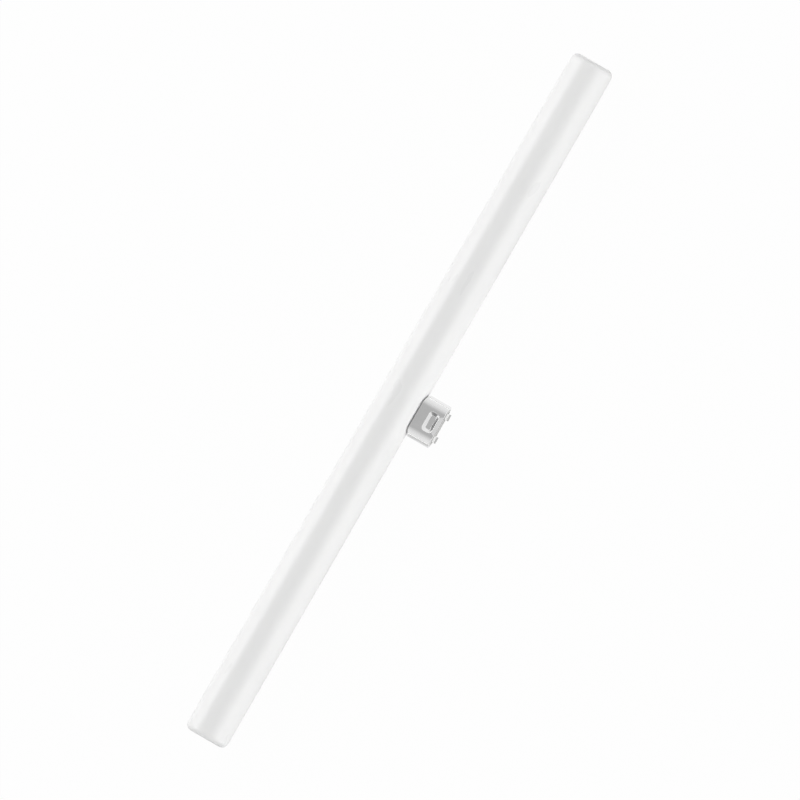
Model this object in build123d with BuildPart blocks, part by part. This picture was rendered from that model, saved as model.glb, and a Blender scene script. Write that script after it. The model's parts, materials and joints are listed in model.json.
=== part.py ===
"""Tubular lamp with one oblong cap in the middle, lying on its tube and on the lower edge of the cap."""

import os
from math import asin, atan, atan2, cos, hypot, radians, sin, tan

from build123d import *

# Driving dimensions, in millimetres and degrees
tube_length = 500.0
tube_diameter = 29.5
tube_end_radius = 4.5  # rounding round each flat end of the tube

cap_length = 30.4  # along the tube
cap_width = 14.0
cap_height = 16.6  # from the tube's surface to the end of the cap
cap_offset = -2.3  # the cap's middle, along the tube from the tube's middle
cap_end_radius = 0.6
saddle_gap = 1.3  # opening under the edge of the shell, at the tube
saddle_lead = 2.2  # how far that opening runs in under the shell
shell_wall = 0.5
lip_width = 1.7  # rolled rim round the open end, from the outside of the cap
flange_width = 3.0  # flange that seats on the tube, from the outside of the cap
flange_thickness = 1.5

recess_length = 13.6  # latch recess in each flat side of the cap, along the tube
recess_height = 7.3
recess_depth = 1.8
recess_run = 2.15  # how far three walls of the recess slope in
latch_run = 1.8  # how far its steeper fourth wall slopes in, which faces the tube and holds the latch
recess_corner_radius = 2.4  # at the flat side
recess_floor_corner = 1.0  # at the floor
recess_lip_radius = 0.35
recess_floor_radius = 0.25
recess_land = 0.3  # flat strip between the recess and the lead-in ramp

ramp_height = 2.3  # lead-in ramp, from the end of the cap
ramp_depth = 0.9
ramp_length = 11.4  # along the tube, where the ramp starts
ramp_flare = 30.0

carrier_thickness = 1.8
carrier_fit = 0.1  # clearance of the carrier in the shell
pad_width = 3.9  # pad under each contact, along the tube

contact_width = 4.5  # along the tube
contact_spacing = 16.6
contact_span = 8.0  # outside to outside of a contact's two legs
contact_rise = 2.2  # how far a contact stands out of the end of the cap
contact_lean = 25.0  # lean of its sides above the end of the cap
contact_thickness = 0.4
contact_bend_radius = 0.8  # inside of the bend
contact_tail = 2.0  # leg behind the carrier
contact_fit = 0.1  # clearance of a contact's legs in the carrier

# Distances from the tube's axis, measured along the cap
tube_radius = tube_diameter / 2
cap_reach = tube_radius + cap_height
ramp_start = cap_reach - ramp_height
recess_middle = ramp_start - recess_land - recess_height / 2
carrier_top = cap_reach - shell_wall - carrier_fit
carrier_bottom = carrier_top - carrier_thickness
contact_top = cap_reach + contact_rise
pad_top = contact_top - contact_thickness

# Places across the cap, measured from its middle, for the middle line of a contact's strip and for its pad
leg_middle = (contact_span - contact_thickness) / 2
crown_line = contact_top - contact_thickness / 2
crown_middle = leg_middle - (crown_line - cap_reach) * tan(radians(contact_lean))
pad_low_side = leg_middle - contact_thickness / 2 - contact_fit
pad_top_side = (
    crown_middle
    + contact_thickness / 2 * tan(radians(contact_lean))
    - (contact_thickness / 2 + contact_fit) / cos(radians(contact_lean))
)

# The lamp lies with the cap turned down until the lower edge of the cap's end meets the floor
edge_reach = cap_reach - cap_end_radius
edge_side = cap_width / 2 - cap_end_radius
edge_slope = atan2(edge_side, edge_reach)
lying_angle = asin((tube_radius - cap_end_radius) / hypot(edge_reach, edge_side)) - edge_slope

# The upper bend of the contacts is what lies furthest forward, and the origin is under the lamp's middle
bend_radius = contact_bend_radius + contact_thickness / 2
outer_bend_radius = contact_bend_radius + contact_thickness
bend_reach = contact_top - outer_bend_radius
bend_side = crown_middle - bend_radius * tan(radians(90 - contact_lean) / 2)
front_reach = bend_reach * cos(lying_angle) + bend_side * sin(lying_angle) + outer_bend_radius
tube_y = (front_reach - tube_radius) / 2

# The cap's own plane, on the tube's axis: x along the tube, y across the cap, z out along the cap
cap_plane = Plane(
    origin=(cap_offset, tube_y, tube_radius),
    x_dir=(1, 0, 0),
    z_dir=(0, -cos(lying_angle), -sin(lying_angle)),
)
cap_axis = Axis(cap_plane.origin, cap_plane.z_dir)


def cross_plane(along):
    """A plane across the tube, so far along it from the cap's middle: x across the cap, y out along it."""
    middle = cap_plane.from_local_coords((along, 0, 0))
    return Plane(middle, x_dir=cap_plane.y_dir, z_dir=cap_plane.x_dir)


def side_plane(side, inset, reach):
    """One flat side of the cap, seen from outside, so far from the tube's axis: y out along the cap."""
    middle = cap_plane.from_local_coords((0, side * (cap_width / 2 - inset), reach))
    return Plane(middle, x_dir=cap_plane.x_dir * -side, z_dir=cap_plane.y_dir * side)


def lead_in_ramp(side, inset):
    """The wedge that the ramp takes off one flat side of the cap, flared towards the cap's end."""
    ramp_angle = atan(ramp_depth / ramp_height)
    surface = side_plane(side, inset, ramp_start - inset * tan(ramp_angle / 2))
    start_length = ramp_length + 2 * inset
    end_length = start_length + 2 * ramp_height * tan(radians(ramp_flare))
    with BuildPart() as ramp:
        with BuildSketch(surface):
            with BuildLine():
                Polyline(
                    (-start_length / 2, 0),
                    (start_length / 2, 0),
                    (end_length / 2, ramp_height),
                    (-end_length / 2, ramp_height),
                    close=True,
                )
            make_face()
        extrude(amount=ramp_depth, both=True)
        with BuildSketch(Plane(surface.origin, x_dir=surface.y_dir, z_dir=surface.x_dir)):
            with BuildLine():
                Polyline((0, 0), (ramp_height, 0), (ramp_height, -ramp_depth), close=True)
            make_face()
        extrude(amount=end_length, both=True, mode=Mode.INTERSECT)
    return ramp.part


def cap_form(inset, saddle_rise, rounded):
    """The cap's form, an oblong block on the tube with recesses and ramps.

    Its sides and end are drawn in by inset, and it starts saddle_rise above the tube's surface.
    The outside of the cap is rounded, and the forms inside it have plain edges.
    """
    recess_growth = inset * tan(atan(recess_depth / recess_run) / 2)
    latch_growth = inset * tan(atan(recess_depth / latch_run) / 2)
    with BuildPart() as form:
        with BuildSketch(cap_plane):
            SlotOverall(cap_length - 2 * inset, cap_width - 2 * inset)
        extrude(amount=cap_reach - inset)
        if rounded:
            end_edges = form.faces().sort_by(cap_axis)[-1].edges()
            fillet(end_edges, radius=cap_end_radius)

        with BuildSketch(cross_plane(0)):
            Circle(tube_radius + saddle_rise)
        extrude(amount=cap_length, both=True, mode=Mode.SUBTRACT)
        if rounded:
            saddle = form.faces().sort_by(cap_axis)[0]
            chamfer(saddle.edges(), length=saddle_lead, length2=saddle_gap, reference=saddle)

        for side in (1, -1):
            for depth, run, steep_run, corner_radius in (
                (0, 0, 0, recess_corner_radius),
                (recess_depth, recess_run, latch_run, recess_floor_corner),
            ):
                wider = recess_growth - run
                wider_at_latch = latch_growth - steep_run
                middle = recess_middle + (wider_at_latch - wider) / 2
                with BuildSketch(side_plane(side, inset + depth, middle)):
                    RectangleRounded(
                        recess_length + 2 * wider,
                        recess_height + wider + wider_at_latch,
                        corner_radius + recess_growth,
                    )
            loft(ruled=True, mode=Mode.SUBTRACT)
            if rounded:
                outward = Axis(cap_plane.origin, cap_plane.y_dir * side)
                recess_edges = form.edges(Select.LAST).group_by(outward)
                fillet(recess_edges[0], radius=recess_floor_radius)
                fillet(recess_edges[-1], radius=recess_lip_radius)
            add(lead_in_ramp(side, inset), mode=Mode.SUBTRACT)
    return form.part


os.makedirs("parts", exist_ok=True)

# Opal tube, closed at both ends
with BuildPart() as opal_tube:
    with BuildSketch(cross_plane(-tube_length / 2 - cap_offset)):
        Circle(tube_radius)
    extrude(amount=tube_length)
    fillet(opal_tube.edges().filter_by(GeomType.CIRCLE), radius=tube_end_radius)
opal_tube.part.label = "opal_tube"
export_step(opal_tube.part, "parts/opal_tube.step")

# Drawn metal shell of the cap: its saddle seats on the tube, and its rim is rolled in over the carrier
with BuildPart() as cap_shell:
    add(cap_form(0, 0, rounded=True))
    add(cap_form(shell_wall, flange_thickness, rounded=False), mode=Mode.SUBTRACT)
    with BuildSketch(cap_plane.offset(carrier_top)):
        SlotOverall(cap_length - 2 * lip_width, cap_width - 2 * lip_width)
    extrude(amount=cap_reach - carrier_top, mode=Mode.SUBTRACT)
    with BuildSketch(cap_plane):
        SlotOverall(cap_length - 2 * flange_width, cap_width - 2 * flange_width)
    extrude(amount=tube_radius + 2 * flange_thickness, mode=Mode.SUBTRACT)
cap_shell.part.label = "cap_shell"
export_step(cap_shell.part, "parts/cap_shell.step")

# Moulded carrier: an insulating plate behind the rim, with a face that fills the rim's opening, a pad under
# each contact and slots for the contacts' legs
with BuildPart() as contact_carrier:
    add(cap_form(shell_wall + carrier_fit, flange_thickness, rounded=False))
    split(bisect_by=cap_plane.offset(carrier_bottom), keep=Keep.TOP)
    face_inset = lip_width + carrier_fit
    with BuildSketch(cap_plane.offset(carrier_top)):
        SlotOverall(cap_length - 2 * face_inset, cap_width - 2 * face_inset)
    extrude(amount=cap_reach - carrier_top)
    with BuildSketch(cross_plane(-contact_spacing / 2), cross_plane(contact_spacing / 2)):
        with BuildLine():
            Polyline(
                (-pad_low_side, cap_reach),
                (-pad_top_side, pad_top),
                (pad_top_side, pad_top),
                (pad_low_side, cap_reach),
                close=True,
            )
        make_face()
    extrude(amount=pad_width / 2, both=True)
    pad_edges = contact_carrier.edges().group_by(cap_axis)[-1].filter_by(Axis.X)
    fillet(pad_edges, radius=contact_bend_radius)
    with BuildSketch(cap_plane.offset(carrier_bottom)):
        with GridLocations(contact_spacing, 2 * leg_middle, 2, 2):
            Rectangle(contact_width + 2 * contact_fit, contact_thickness + 2 * contact_fit)
    extrude(amount=cap_reach - carrier_bottom, mode=Mode.SUBTRACT)
contact_carrier.part.label = "contact_carrier"
export_step(contact_carrier.part, "parts/contact_carrier.step")

# Two contacts, each a strip folded over its pad with leaning sides and both legs through the carrier
for name, side in (("contact_left", -1), ("contact_right", 1)):
    with BuildPart() as contact:
        with BuildSketch(cross_plane(side * contact_spacing / 2)):
            with BuildLine():
                FilletPolyline(
                    (-leg_middle, carrier_bottom - contact_tail),
                    (-leg_middle, cap_reach),
                    (-crown_middle, crown_line),
                    (crown_middle, crown_line),
                    (leg_middle, cap_reach),
                    (leg_middle, carrier_bottom - contact_tail),
                    radius=bend_radius,
                )
            trace(line_width=contact_thickness)
        extrude(amount=contact_width / 2, both=True)
    contact.part.label = name
    export_step(contact.part, f"parts/{name}.step")
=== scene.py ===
import json
from math import atan2, cos, pi, radians, sin

import bpy
from mathutils import Matrix, Vector


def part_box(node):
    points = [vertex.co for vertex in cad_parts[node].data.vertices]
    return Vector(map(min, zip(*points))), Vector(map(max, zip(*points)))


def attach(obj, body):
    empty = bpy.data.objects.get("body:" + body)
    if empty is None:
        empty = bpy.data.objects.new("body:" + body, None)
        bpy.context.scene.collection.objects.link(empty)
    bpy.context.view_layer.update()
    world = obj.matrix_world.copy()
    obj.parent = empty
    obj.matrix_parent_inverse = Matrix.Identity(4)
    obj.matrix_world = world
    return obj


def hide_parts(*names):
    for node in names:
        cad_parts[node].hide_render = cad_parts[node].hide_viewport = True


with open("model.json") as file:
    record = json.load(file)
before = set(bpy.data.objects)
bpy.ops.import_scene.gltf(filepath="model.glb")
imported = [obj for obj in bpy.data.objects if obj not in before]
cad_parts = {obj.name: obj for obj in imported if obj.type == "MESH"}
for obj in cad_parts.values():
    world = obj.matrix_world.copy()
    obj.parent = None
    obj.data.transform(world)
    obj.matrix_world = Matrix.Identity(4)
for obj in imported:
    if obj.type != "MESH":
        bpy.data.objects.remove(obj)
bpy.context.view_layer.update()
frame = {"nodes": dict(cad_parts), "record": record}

# OPAL TUBE
# A straight tube of white opal plastic, closed at both ends, with the light strip and driver sealed inside.
# It is drawn through a die, which leaves faint lines along it, and its ends are closed flat with a soft edge.
tube_low, tube_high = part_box("opal_tube")
tube_middle = (tube_low + tube_high) / 2
tube_length = tube_high.x - tube_low.x
tube_radius = (tube_high.z - tube_low.z) / 2
tube_sides = 160
end_rounding = 0.0045
end_rounding_steps = 12
end_rings = (0.0030, 0.0030, 0.0025)
smoothed_up_to = radians(25)
opal_white = (0.82, 0.82, 0.816, 1)
opal_cloud = (0.805, 0.805, 0.802, 1)
opal_roughness = (0.27, 0.33)
opal_ior = 1.45
opal_scatter = 0.15
opal_scatter_depth = 0.003
opal_scatter_tint = (1, 1, 0.95)
cloud_size = (0.06, 0.02, 0.02)
die_line_size = (0.25, 0.0009, 0.0009)
die_line_depth = 0.000006
satin_size = (0.0004, 0.0004, 0.0004)
satin_depth = 0.000002
noise_low = 0.3
noise_high = 0.7


def begin_material(name):
    """A new material, with its nodes, its surface shader and the piece's own coordinates."""
    material = bpy.data.materials.new(name)
    material.use_nodes = True
    nodes = material.node_tree.nodes
    surface = nodes["Principled BSDF"]
    place = nodes.new("ShaderNodeTexCoord").outputs["Object"]
    return material, nodes, material.node_tree.links, surface, place


def grain(nodes, links, place, size, detail, turn=(0, 0, 0)):
    """Noise whose marks are as long, in metres, as size says along each of its turned axes."""
    stretch = nodes.new("ShaderNodeMapping")
    stretch.vector_type = "TEXTURE"
    stretch.inputs["Rotation"].default_value = turn
    stretch.inputs["Scale"].default_value = size
    noise = nodes.new("ShaderNodeTexNoise")
    noise.inputs["Scale"].default_value = 1
    noise.inputs["Detail"].default_value = detail
    links.new(place, stretch.inputs["Vector"])
    links.new(stretch.outputs["Vector"], noise.inputs["Vector"])
    return noise.outputs["Fac"]


def spread(nodes, links, value, low, high):
    """The middle of a noise's range spread from low to high."""
    span = nodes.new("ShaderNodeMapRange")
    span.inputs["From Min"].default_value = noise_low
    span.inputs["From Max"].default_value = noise_high
    span.inputs["To Min"].default_value = low
    span.inputs["To Max"].default_value = high
    links.new(value, span.inputs["Value"])
    return span.outputs["Result"]


def tint(nodes, links, value, dark, light):
    """A colour between dark and light, for the middle of a noise's range."""
    ramp = nodes.new("ShaderNodeValToRGB")
    ramp.color_ramp.elements[0].position = noise_low
    ramp.color_ramp.elements[0].color = dark
    ramp.color_ramp.elements[1].position = noise_high
    ramp.color_ramp.elements[1].color = light
    links.new(value, ramp.inputs["Fac"])
    return ramp.outputs["Color"]


def relief(nodes, links, height, depth, under=None):
    """A bump as deep, in metres, as depth says, over the one under it."""
    bump = nodes.new("ShaderNodeBump")
    bump.inputs["Strength"].default_value = 1
    bump.inputs["Distance"].default_value = depth
    links.new(height, bump.inputs["Height"])
    if under is not None:
        links.new(under, bump.inputs["Normal"])
    return bump.outputs["Normal"]


bpy.ops.object.select_all(action="DESELECT")
bpy.ops.mesh.primitive_cylinder_add(
    vertices=tube_sides,
    radius=tube_radius,
    depth=tube_length,
    end_fill_type="NGON",
    location=tube_middle,
    rotation=(0, radians(90), 0),
)
opal_tube = bpy.context.active_object
opal_tube.name = "opal_tube_body"
bpy.ops.object.transform_apply(location=True, rotation=True, scale=True)
bpy.ops.object.mode_set(mode="EDIT")
bpy.ops.mesh.select_mode(type="EDGE")
bpy.ops.mesh.select_all(action="DESELECT")
bpy.ops.object.mode_set(mode="OBJECT")
for edge in opal_tube.data.edges:
    first, last = [opal_tube.data.vertices[corner].co.x for corner in edge.vertices]
    edge.select = abs(first - last) < tube_length / 2
bpy.ops.object.mode_set(mode="EDIT")
bpy.ops.mesh.bevel(offset=end_rounding, offset_type="OFFSET", segments=end_rounding_steps, affect="EDGES")
bpy.ops.mesh.select_mode(type="FACE")
bpy.ops.mesh.select_all(action="DESELECT")
bpy.ops.object.mode_set(mode="OBJECT")
for face in opal_tube.data.polygons:
    face.select = len(face.vertices) == tube_sides
bpy.ops.object.mode_set(mode="EDIT")
for ring in end_rings:
    bpy.ops.mesh.inset(thickness=ring, use_even_offset=True)
bpy.ops.mesh.poke()
bpy.ops.mesh.select_all(action="SELECT")
bpy.ops.mesh.normals_make_consistent(inside=False)
bpy.ops.object.mode_set(mode="OBJECT")
bpy.ops.object.shade_smooth_by_angle(angle=smoothed_up_to)

opal, nodes, links, surface, place = begin_material("opal_satin")
cloud = grain(nodes, links, place, cloud_size, detail=3)
die_lines = grain(nodes, links, place, die_line_size, detail=2)
satin = grain(nodes, links, place, satin_size, detail=2)
links.new(tint(nodes, links, cloud, opal_cloud, opal_white), surface.inputs["Base Color"])
links.new(spread(nodes, links, cloud, *opal_roughness), surface.inputs["Roughness"])
lines_relief = relief(nodes, links, die_lines, die_line_depth)
links.new(relief(nodes, links, satin, satin_depth, lines_relief), surface.inputs["Normal"])
surface.inputs["IOR"].default_value = opal_ior
surface.inputs["Subsurface Weight"].default_value = opal_scatter
surface.inputs["Subsurface Radius"].default_value = opal_scatter_tint
surface.inputs["Subsurface Scale"].default_value = opal_scatter_depth
opal_tube.data.materials.append(opal)
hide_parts("opal_tube")
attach(opal_tube, "root")

# CAP SHELL
# A thin aluminium shell, deep drawn to an oblong with round ends and bonded to the tube by its saddle.
# The latch recesses and lead-in ramps are pressed into its flat sides, and its rim is rolled in at the end.
cap_mount = next(mount for mount in frame["record"]["mounts"] if mount["name"] == "lamp_cap")
cap_axis = Vector(cap_mount["axis"])
cap_lean = atan2(-cap_axis.z, -cap_axis.y)
along_cap = (cap_lean, 0, 0)
aluminium = (0.91, 0.91, 0.91, 1)
aluminium_dull = (0.88, 0.88, 0.88, 1)
aluminium_roughness = (0.10, 0.13)
stain_size = (0.006, 0.006, 0.006)
draw_line_size = (0.00025, 0.009, 0.00025)
draw_line_depth = 0.000001
tumbled_size = (0.0003, 0.0003, 0.0003)
tumbled_depth = 0.0000007

shell_metal, nodes, links, surface, place = begin_material("drawn_aluminium")
stain = grain(nodes, links, place, stain_size, detail=4)
draw_lines = grain(nodes, links, place, draw_line_size, detail=3, turn=along_cap)
tumbled = grain(nodes, links, place, tumbled_size, detail=2)
links.new(tint(nodes, links, stain, aluminium_dull, aluminium), surface.inputs["Base Color"])
links.new(spread(nodes, links, draw_lines, *aluminium_roughness), surface.inputs["Roughness"])
lines_relief = relief(nodes, links, draw_lines, draw_line_depth)
links.new(relief(nodes, links, tumbled, tumbled_depth, lines_relief), surface.inputs["Normal"])
surface.inputs["Metallic"].default_value = 1
frame["nodes"]["cap_shell"].data.materials[0] = shell_metal

# CONTACT CARRIER
# An insulating plate moulded in grey plastic, held behind the rolled rim, with a pad under each contact.
# Its faces have the fine grain of a spark-eroded mould.
carrier_grey = (0.58, 0.58, 0.57, 1)
carrier_shade = (0.54, 0.54, 0.53, 1)
carrier_roughness = (0.5, 0.62)
flow_size = (0.004, 0.004, 0.004)
spark_grain_size = (0.0002, 0.0002, 0.0002)
spark_grain_depth = 0.00001

moulded, nodes, links, surface, place = begin_material("moulded_grey")
flow = grain(nodes, links, place, flow_size, detail=3)
spark_grain = grain(nodes, links, place, spark_grain_size, detail=3)
links.new(tint(nodes, links, flow, carrier_shade, carrier_grey), surface.inputs["Base Color"])
links.new(spread(nodes, links, spark_grain, *carrier_roughness), surface.inputs["Roughness"])
links.new(relief(nodes, links, spark_grain, spark_grain_depth), surface.inputs["Normal"])
frame["nodes"]["contact_carrier"].data.materials[0] = moulded

# CONTACTS
# Two strips of nickel-plated steel, each folded over its pad with both legs pushed through the carrier.
# The plating is smooth, with light rubbing marks along the strip from the holder's springs.
nickel = (0.70, 0.70, 0.695, 1)
nickel_rubbed = (0.64, 0.64, 0.635, 1)
nickel_roughness = (0.13, 0.22)
rubbing_size = (0.00012, 0.003, 0.003)
rubbing_depth = 0.000004
haze_size = (0.002, 0.002, 0.002)

plating, nodes, links, surface, place = begin_material("nickel_plating")
rubbing = grain(nodes, links, place, rubbing_size, detail=3, turn=along_cap)
haze = grain(nodes, links, place, haze_size, detail=3)
links.new(tint(nodes, links, haze, nickel_rubbed, nickel), surface.inputs["Base Color"])
links.new(spread(nodes, links, rubbing, *nickel_roughness), surface.inputs["Roughness"])
links.new(relief(nodes, links, rubbing, rubbing_depth), surface.inputs["Normal"])
surface.inputs["Metallic"].default_value = 1
for name in ("contact_left", "contact_right"):
    frame["nodes"][name].data.materials[0] = plating

# FLOOR
# A plain pale sheet that the lamp lies on. It shows white all round and keeps the lamp's soft shadow.
# Mirrored in the lamp it is dimmer, apart from a painted glow round the cap, seen only in reflections,
# which leaves out the floor in front of the contacts.
floor_size = 16.0
floor_drop = 0.0002
floor_pale = (0.5, 0.5, 0.5, 1)
floor_white = (1, 1, 1, 1)
seen_glow = 0.98
mirrored_glow = 0.45
# Painted glow: inside this spot the floor gives off more light, for mirrored rays only; the front spot is
# left out of it.
painted_spot_glow = 0.95
painted_glow_spot = (0.03, -0.012, 0)
painted_glow_inside = 0.04
painted_glow_outside = 0.08
front_spot = (-0.0023, -0.031, 0)
front_spot_inside = 0.011
front_spot_outside = 0.019


def sum_up(nodes, links, operation, first, second):
    """One step of arithmetic on two values, each of them a number or a node's output."""
    step = nodes.new("ShaderNodeMath")
    step.operation = operation
    for socket, value in zip(step.inputs, (first, second)):
        if isinstance(value, (int, float)):
            socket.default_value = value
        else:
            links.new(value, socket)
    return step.outputs["Value"]


def fade(nodes, links, value, start, full):
    """0 up to start and 1 from full on, with a soft change between."""
    change = nodes.new("ShaderNodeMapRange")
    change.interpolation_type = "SMOOTHSTEP"
    change.inputs["From Min"].default_value = start
    change.inputs["From Max"].default_value = full
    links.new(value, change.inputs["Value"])
    return change.outputs["Result"]


def off_spot(nodes, links, place, spot):
    """How far a place is from the spot."""
    distance = nodes.new("ShaderNodeVectorMath")
    distance.operation = "DISTANCE"
    distance.inputs[1].default_value = spot
    links.new(place, distance.inputs[0])
    return distance.outputs["Value"]


bpy.ops.object.select_all(action="DESELECT")
bpy.ops.mesh.primitive_plane_add(size=floor_size, location=(0, 0, -floor_drop))
floor = bpy.context.active_object
floor.name = "floor"
bpy.ops.object.transform_apply(location=True, rotation=True, scale=True)

sheet = bpy.data.materials.new("white_sheet")
sheet.use_nodes = True
nodes = sheet.node_tree.nodes
links = sheet.node_tree.links
nodes.clear()
output = nodes.new("ShaderNodeOutputMaterial")
paper = nodes.new("ShaderNodeBsdfDiffuse")
paper.inputs["Color"].default_value = floor_pale
white = nodes.new("ShaderNodeEmission")
white.inputs["Color"].default_value = floor_white
white.inputs["Strength"].default_value = 1
path = nodes.new("ShaderNodeLightPath")
place = nodes.new("ShaderNodeTexCoord").outputs["Object"]
# The painted glow round the cap, cut away in front of the contacts, added for mirrored rays only.
off_painted_glow = off_spot(nodes, links, place, painted_glow_spot)
off_front = off_spot(nodes, links, place, front_spot)
in_painted_glow = fade(nodes, links, off_painted_glow, painted_glow_outside, painted_glow_inside)
clear_of_front = fade(nodes, links, off_front, front_spot_inside, front_spot_outside)
painted_glow_share = sum_up(nodes, links, "MULTIPLY", in_painted_glow, clear_of_front)
added_painted_glow = sum_up(nodes, links, "MULTIPLY", painted_glow_share, painted_spot_glow - mirrored_glow)
glow = sum_up(nodes, links, "ADD", added_painted_glow, mirrored_glow)
mirrored = sum_up(nodes, links, "MAXIMUM", path.outputs["Is Glossy Ray"], path.outputs["Is Transmission Ray"])
mirrored_share = sum_up(nodes, links, "MULTIPLY", mirrored, glow)
seen_share = sum_up(nodes, links, "MULTIPLY", path.outputs["Is Camera Ray"], seen_glow)
blend = nodes.new("ShaderNodeMixShader")
links.new(sum_up(nodes, links, "ADD", seen_share, mirrored_share), blend.inputs["Fac"])
links.new(paper.outputs["BSDF"], blend.inputs[1])
links.new(white.outputs["Emission"], blend.inputs[2])
links.new(blend.outputs["Shader"], output.inputs["Surface"])
floor.data.materials.append(sheet)

# CAMERA
# It looks down on the lamp from a little in front, turned so that the tube runs up to the right,
# and tilted so that a sliver of the cap's end shows.
photo_pixels = 800
pixels_per_metre = 1561
end_shows = radians(7)
tube_slope = radians(60.04)
aim_right = 0.34 / pixels_per_metre
aim_up = 0.5 / pixels_per_metre
camera_distance = 1.5


def put_up(name, data, middle, right, up, back):
    """A camera or lamp in the scene, at its place, with its right, upper and back side turned as given."""
    thing = bpy.data.objects.new(name, data)
    bpy.context.scene.collection.objects.link(thing)
    turned = Matrix((right, up, back)).transposed().to_4x4()
    thing.matrix_world = Matrix.Translation(middle) @ turned
    return thing


view_tilt = cap_lean + end_shows
towards_camera = Vector((0, -sin(view_tilt), cos(view_tilt)))
across_tube = Vector((0, -cos(view_tilt), -sin(view_tilt)))
along_tube = Vector((1, 0, 0))
view_right = along_tube * cos(tube_slope) + across_tube * sin(tube_slope)
view_up = along_tube * sin(tube_slope) - across_tube * cos(tube_slope)
camera_data = bpy.data.cameras.new("camera")
camera_data.type = "ORTHO"
camera_data.ortho_scale = photo_pixels / pixels_per_metre
camera_place = tube_middle + view_right * aim_right + view_up * aim_up + towards_camera * camera_distance
camera = put_up("camera", camera_data, camera_place, view_right, view_up, towards_camera)
bpy.context.scene.camera = camera

# LIGHT
# A pale room, with a long soft box on each side of the tube that lights the lamp but isn't mirrored in it.
# What is mirrored is dim round the camera, with a dark ceiling and a dark panel far off on the left, and
# four pale cards: a long one on each side of the tube and a small one off each round end of the cap.
half_turn = 180
room_shades = ((0, 0.10), (9, 0.18), (14, 0.52), (25, 0.68), (42, 0.80), (76, 0.90), (half_turn, 0.85))
room_light = 0.56
room_white = (1, 1, 1, 1)
panel_dimming = 0.75
panel_side = (-0.5, -0.95)
panel_foot = (0.07, 0.15)
panel_top = (0.32, 0.24)
ceiling_dimming = 0.7
ceiling_foot = (0.80, 0.88)
ceiling_front = (-0.08, -0.01)
box_distance = 3.0
box_length = 5.4
behind = 1
in_front = -1
cap_low, cap_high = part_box("cap_shell")
across_cap = cap_axis.cross(along_tube)
cap_card_width = 0.003


def soft_card(name, middle, outward, along, length, width, level):
    """A card that gives off an even light, with its back outward and its length along the way given."""
    light = bpy.data.lights.new(name, "AREA")
    light.shape = "RECTANGLE"
    light.size = length
    light.size_y = width
    light.energy = level * pi * length * width
    return put_up(name, light, middle, along, outward.cross(along), outward)


def soft_box(name, side, rise, width, level):
    """A long soft box or card beside the tube, that faces the lamp's middle from so many degrees up."""
    outward = Vector((0, side * cos(radians(rise)), sin(radians(rise))))
    middle = tube_middle + outward * box_distance
    return soft_card(name, middle, outward, along_tube, box_length, width, level)


def cap_card(name, end, outward, gap, reach, rise, length, level):
    """A small card off one end of the cap, so far out along the cap and so far up from its middle."""
    foot = Vector((end, tube_middle.y, tube_middle.z)) + outward * gap
    middle = foot + cap_axis * reach + across_cap * rise
    return soft_card(name, middle, outward, cap_axis, length, cap_card_width, level)


room = bpy.data.worlds.new("room")
room.use_nodes = True
nodes = room.node_tree.nodes
links = room.node_tree.links
look = nodes.new("ShaderNodeTexCoord").outputs["Generated"]
camera_side = nodes.new("ShaderNodeVectorMath")
camera_side.operation = "DOT_PRODUCT"
camera_side.inputs[1].default_value = towards_camera
links.new(look, camera_side.inputs[0])
off_camera = sum_up(nodes, links, "ARCCOSINE", camera_side.outputs["Value"], 0)
shades = nodes.new("ShaderNodeValToRGB")
stops = shades.color_ramp.elements
for degrees_off, shade in room_shades[1:-1]:
    stops.new(degrees_off / half_turn)
for stop, (degrees_off, shade) in zip(stops, room_shades):
    stop.color = (shade, shade, shade, 1)
links.new(sum_up(nodes, links, "DIVIDE", off_camera, pi), shades.inputs["Fac"])

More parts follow.
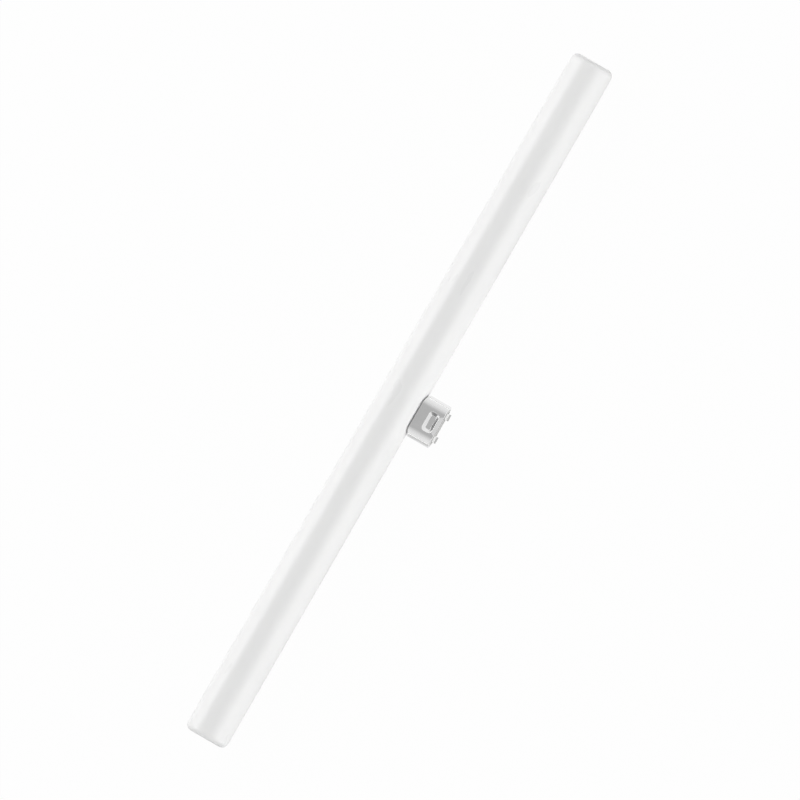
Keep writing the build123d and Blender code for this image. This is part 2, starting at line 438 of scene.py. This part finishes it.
look_parts = nodes.new("ShaderNodeSeparateXYZ")
links.new(look, look_parts.inputs["Vector"])
far_left = fade(nodes, links, look_parts.outputs["X"], *panel_side)
over_foot = fade(nodes, links, look_parts.outputs["Z"], *panel_foot)
under_top = fade(nodes, links, look_parts.outputs["Z"], *panel_top)
panel_height = sum_up(nodes, links, "MULTIPLY", over_foot, under_top)
panel = sum_up(nodes, links, "MULTIPLY", far_left, panel_height)
high_up = fade(nodes, links, look_parts.outputs["Z"], *ceiling_foot)
past_camera = fade(nodes, links, look_parts.outputs["Y"], *ceiling_front)
ceiling = sum_up(nodes, links, "MULTIPLY", high_up, past_camera)
dark_panel = sum_up(nodes, links, "MULTIPLY", panel, panel_dimming)
dark_ceiling = sum_up(nodes, links, "MULTIPLY", ceiling, ceiling_dimming)
darkness = sum_up(nodes, links, "ADD", dark_panel, dark_ceiling)

path = nodes.new("ShaderNodeLightPath")
walls = nodes["Background"]
links.new(shades.outputs["Color"], walls.inputs["Color"])
links.new(sum_up(nodes, links, "SUBTRACT", 1, darkness), walls.inputs["Strength"])
even = nodes.new("ShaderNodeBackground")
even.inputs["Color"].default_value = room_white
even.inputs["Strength"].default_value = room_light
white = nodes.new("ShaderNodeBackground")
white.inputs["Color"].default_value = room_white
lit = nodes.new("ShaderNodeMixShader")
links.new(path.outputs["Is Glossy Ray"], lit.inputs["Fac"])
links.new(even.outputs["Background"], lit.inputs[1])
links.new(walls.outputs["Background"], lit.inputs[2])
blend = nodes.new("ShaderNodeMixShader")
links.new(path.outputs["Is Camera Ray"], blend.inputs["Fac"])
links.new(lit.outputs["Shader"], blend.inputs[1])
links.new(white.outputs["Background"], blend.inputs[2])
links.new(blend.outputs["Shader"], nodes["World Output"].inputs["Surface"])
bpy.context.scene.world = room

back_box = soft_box("soft_box_behind", behind, rise=30, width=1.5, level=3.35)
back_card = soft_box("back_card", behind, rise=45, width=1.7, level=1.9)
front_box = soft_box("soft_box_front", in_front, rise=7, width=1.0, level=5.3)
front_card = soft_box("front_card", in_front, rise=26.5, width=0.6, level=0.8)
left_card = cap_card(
    "left_card", cap_low.x, -along_tube, gap=0.005, reach=0.0242, rise=0.0064, length=0.019, level=0.5
)
right_card = cap_card(
    "right_card", cap_high.x, along_tube, gap=0.02, reach=0.021, rise=0.0038, length=0.022, level=0.42
)
for box in (back_box, front_box):
    box.visible_glossy = False
for card in (back_card, front_card, left_card, right_card):
    card.visible_diffuse = False
for card in (left_card, right_card):
    card.visible_camera = False

bpy.context.scene.view_settings.view_transform = "Standard"
